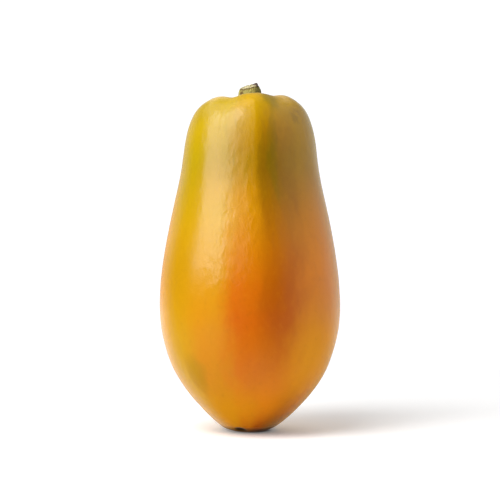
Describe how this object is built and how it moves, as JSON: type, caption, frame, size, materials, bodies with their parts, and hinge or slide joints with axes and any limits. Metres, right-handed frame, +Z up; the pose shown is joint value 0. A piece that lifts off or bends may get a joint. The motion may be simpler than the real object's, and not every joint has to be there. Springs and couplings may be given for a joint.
{
  "type": "papaya",
  "caption": "Ripe pear-shaped papaya that stands on a small flat blossom end, with a lobed crown and the cut stub of its stalk seated in the hollow between the lobes.",
  "frame": {"origin": "middle of the flat spot on the blossom end that the fruit rests on", "axes": "+Z up along the fruit, from the blossom end to the stalk; the front of the fruit faces -Y, and +X is to its right seen from the front"},
  "size_m": [0.1, 0.0999, 0.1933],
  "materials": {
    "skin": "waxy fruit skin, satin, olive yellow at the crown, golden on the flanks, with an orange-red blush on the front",
    "stalk": "dry fibrous green-brown stalk, matt, with a pale pithy cut"
  },
  "bodies": {
    "root": {"fruit": "skin", "stem_stub": "stalk"}
  },
  "joints": []
}
